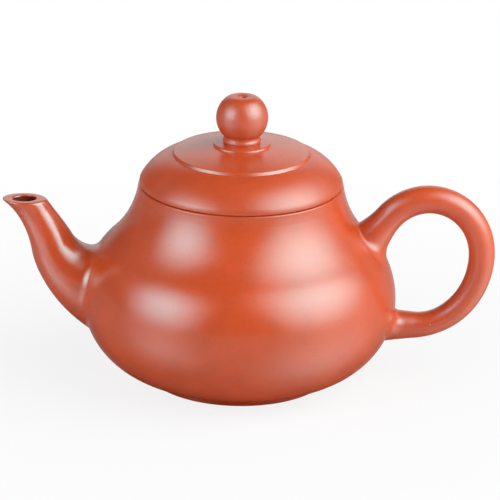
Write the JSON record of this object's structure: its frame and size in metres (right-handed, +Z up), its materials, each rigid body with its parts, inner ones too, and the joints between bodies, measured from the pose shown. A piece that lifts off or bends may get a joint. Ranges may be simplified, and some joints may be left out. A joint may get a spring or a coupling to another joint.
{
  "type": "clay teapot",
  "caption": "Small unglazed clay teapot with a round belly, level-cut spout, ear handle and a loose domed lid with a ball knob, for brewing and pouring tea.",
  "frame": {"origin": "on the pot's axis, at the plane that the foot stands on", "axes": "+Z up along the pot's axis, +X towards the handle, -X towards the spout"},
  "size_m": [0.1398, 0.0894, 0.0833],
  "materials": {
    "clay": "unglazed red clay, burnished to a soft satin",
    "clay_inside": "unglazed red clay, left matt from the tool"
  },
  "bodies": {
    "pot": {"body_wall": "clay", "base_disc": "clay_inside", "foot_ring": "clay", "mouth_ring": "clay", "spout": "clay", "spout_strainer": "clay_inside", "handle": "clay"},
    "lid_skirt": {"lid_flange": "clay_inside"},
    "lid": {"lid_dome": "clay", "lid_disc": "clay", "knob_collar": "clay", "knob": "clay"}
  },
  "joints": [
    {"name": "lid_lift", "type": "slide", "parent": "pot", "child": "lid_skirt", "axis": [0, 0, 1], "range_m": [0, 0.06]},
    {"name": "lid_turn", "type": "hinge", "parent": "lid_skirt", "child": "lid", "pos_m": [0, 0, 0.0576], "axis": [0, 0, 1], "continuous": true}
  ]
}
